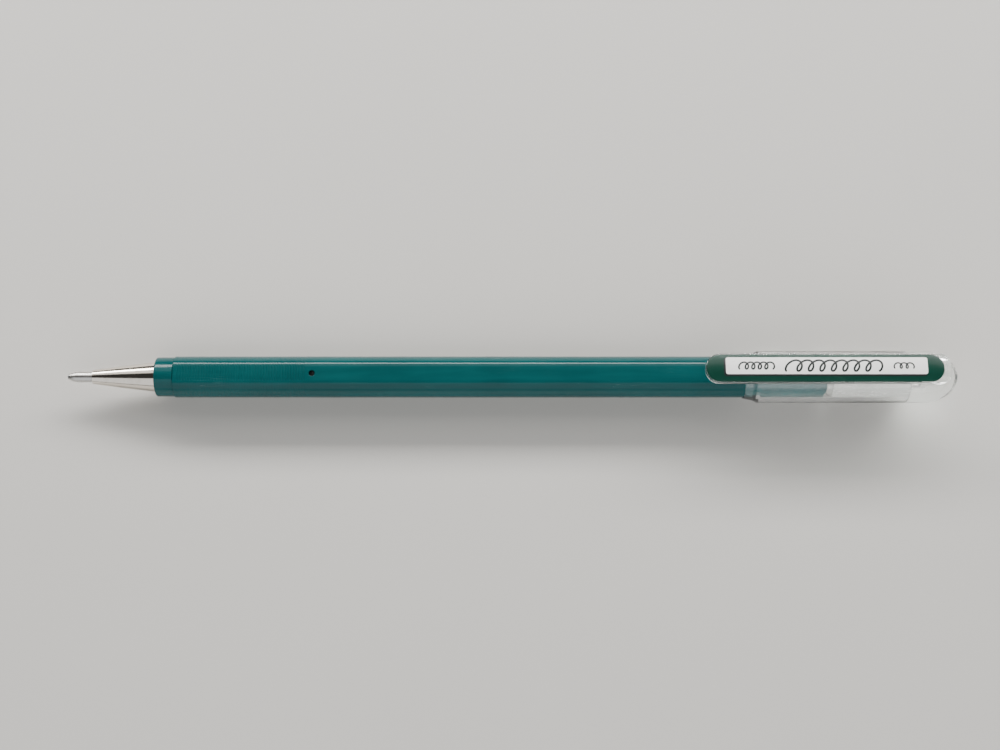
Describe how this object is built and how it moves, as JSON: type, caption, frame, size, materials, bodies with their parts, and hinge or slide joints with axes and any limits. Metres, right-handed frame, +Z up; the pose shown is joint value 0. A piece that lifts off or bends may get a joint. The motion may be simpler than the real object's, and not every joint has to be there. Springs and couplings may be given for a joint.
{
  "type": "gel pen",
  "caption": "Slim round gel pen with a grooved grip, a metal nose cone and a refill, and a clear cap with an inset clip pushed on its back end.",
  "frame": {"origin": "centre of the bottom of the whole pen's box, with the cap on the back end", "axes": "+X runs along the pen from the point to the cap's rounded end, +Z is up towards the clip, +Y is across the pen"},
  "size_m": [0.163, 0.0094, 0.0124],
  "materials": {
    "teal_plastic": "gloss, moulded",
    "nickel_plate": "polished plate on brass",
    "point_steel": "satin, turned",
    "ball_carbide": "polished",
    "spring_wire": "drawn wire",
    "holder_plastic": "satin, moulded",
    "tube_plastic": "frosted clear",
    "ink": "wet gel",
    "grease": "wet grease",
    "clear_plastic": "clear, gloss, moulded",
    "sleeve_plastic": "milky white, moulded",
    "badge_plastic": "gloss, domed"
  },
  "bodies": {
    "barrel": {"barrel": "teal_plastic", "tail_plug": "teal_plastic"},
    "refill": {"point_shank": "point_steel", "ball_spring": "spring_wire", "point_holder": "holder_plastic", "check_ball": "holder_plastic", "ink_tube": "tube_plastic", "gel_ink": "ink", "ink_follower": "grease"},
    "nose_cone": {"nose_cone": "nickel_plate"},
    "writing_ball": {"writing_ball": "ball_carbide"},
    "cap": {"cap_shell": "clear_plastic", "cap_sleeve": "sleeve_plastic"},
    "clip": {"clip_arm": "clear_plastic", "clip_badge": "badge_plastic"}
  },
  "joints": [
    {"name": "cap_pull", "type": "slide", "parent": "barrel", "child": "cap", "axis": [1, 0, 0], "range_m": [0, 0.025]},
    {"name": "clip_flex", "type": "hinge", "parent": "cap", "child": "clip", "pos_m": [0.0791, 0, 0.00825], "axis": [0, 1, 0], "range_deg": [0, 3.4], "stiffness_Nm_per_rad": 0.3},
    {"name": "refill_slide", "type": "slide", "parent": "barrel", "child": "refill", "axis": [-1, 0, 0], "range_m": [0, 0.004]},
    {"name": "nose_cone_turn", "type": "hinge", "parent": "refill", "child": "nose_cone", "pos_m": [-0.0651, 0, 0.00475], "axis": [-1, 0, 0], "range_deg": [0, 1925]},
    {"name": "ball_roll", "type": "hinge", "parent": "refill", "child": "writing_ball", "pos_m": [-0.081, 0, 0.00475], "axis": [0, 1, 0], "continuous": true}
  ],
  "couplings": [
    {"joint": "nose_cone_turn", "follows": "refill_slide", "rad_per_m": 8377.6}
  ]
}
